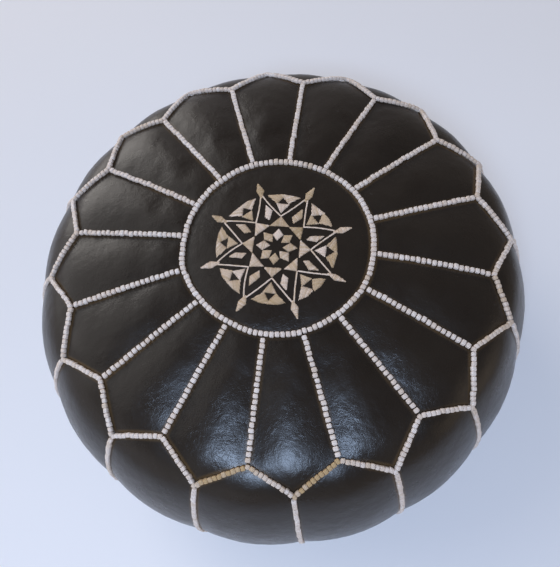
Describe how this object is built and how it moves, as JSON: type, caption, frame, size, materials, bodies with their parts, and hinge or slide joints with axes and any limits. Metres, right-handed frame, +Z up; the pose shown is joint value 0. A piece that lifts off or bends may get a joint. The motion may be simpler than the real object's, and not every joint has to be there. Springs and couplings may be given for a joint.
{
  "type": "leather pouf",
  "caption": "Round stuffed floor pouf in dark leather, with petal panels, overcast thread seams, an embroidered star on top and a zipped base.",
  "frame": {"origin": "middle of the flat underside, on the plane that the pouf rests on", "axes": "+Z up along the pouf's round axis, -Y towards the front, +X along the zip in the base"},
  "size_m": [0.54, 0.54, 0.2858],
  "materials": {
    "leather": "dark brown-black goat leather, smooth and softly glossy, with fine grain and light wear",
    "seam_thread": "thick cream cotton thread, overcast in close stitches",
    "star_thread": "flat beige and cream silky embroidery thread",
    "zip_tape": "dark woven tape",
    "zip_metal": "aged brass, slightly dull",
    "bag_cotton": "unbleached plain-weave cotton",
    "stuffing": "packed cotton wadding"
  },
  "bodies": {
    "cover": {"base_panel_back": "leather", "base_panel_front": "leather", "base_seam": "seam_thread", "inner_bag": "bag_cotton", "medallion_panel": "leather", "medallion_seam": "seam_thread", "petal_01": "leather", "petal_02": "leather", "petal_03": "leather", "petal_04": "leather", "petal_05": "leather", "petal_06": "leather", "petal_07": "leather", "petal_08": "leather", "petal_09": "leather", "petal_10": "leather", "petal_11": "leather", "petal_12": "leather", "petal_13": "leather", "petal_14": "leather", "petal_15": "leather", "petal_16": "leather", "radial_seams": "seam_thread", "side_panel_01": "leather", "side_panel_02": "leather", "side_panel_03": "leather", "side_panel_04": "leather", "side_panel_05": "leather", "side_panel_06": "leather", "side_panel_07": "leather", "side_panel_08": "leather", "side_panel_09": "leather", "side_panel_10": "leather", "side_panel_11": "leather", "side_panel_12": "leather", "side_panel_13": "leather", "side_panel_14": "leather", "side_panel_15": "leather", "side_panel_16": "leather", "side_seams": "seam_thread", "star_heart_lozenges": "star_thread", "star_lines": "star_thread", "star_outer_triangles": "star_thread", "star_point_lozenges": "star_thread", "star_ring_triangles": "star_thread", "star_tips": "star_thread", "stuffing": "stuffing", "zigzag_seam": "seam_thread", "zip_end_patch_left": "leather", "zip_end_patch_right": "leather", "zip_stops": "zip_metal", "zip_tape_back": "zip_tape", "zip_tape_front": "zip_tape", "zip_teeth_back": "zip_metal", "zip_teeth_front": "zip_metal"},
    "slider": {"zip_slider": "zip_metal"},
    "pull_tab": {"zip_pull_tab": "zip_metal"}
  },
  "joints": [
    {"name": "zip_slide", "type": "slide", "parent": "cover", "child": "slider", "axis": [-1, 0, 0], "range_m": [0, 0.267]},
    {"name": "pull_swing", "type": "hinge", "parent": "slider", "child": "pull_tab", "pos_m": [0.142, 0, 0.00345], "axis": [0, -1, 0], "range_deg": [0, 160]}
  ]
}
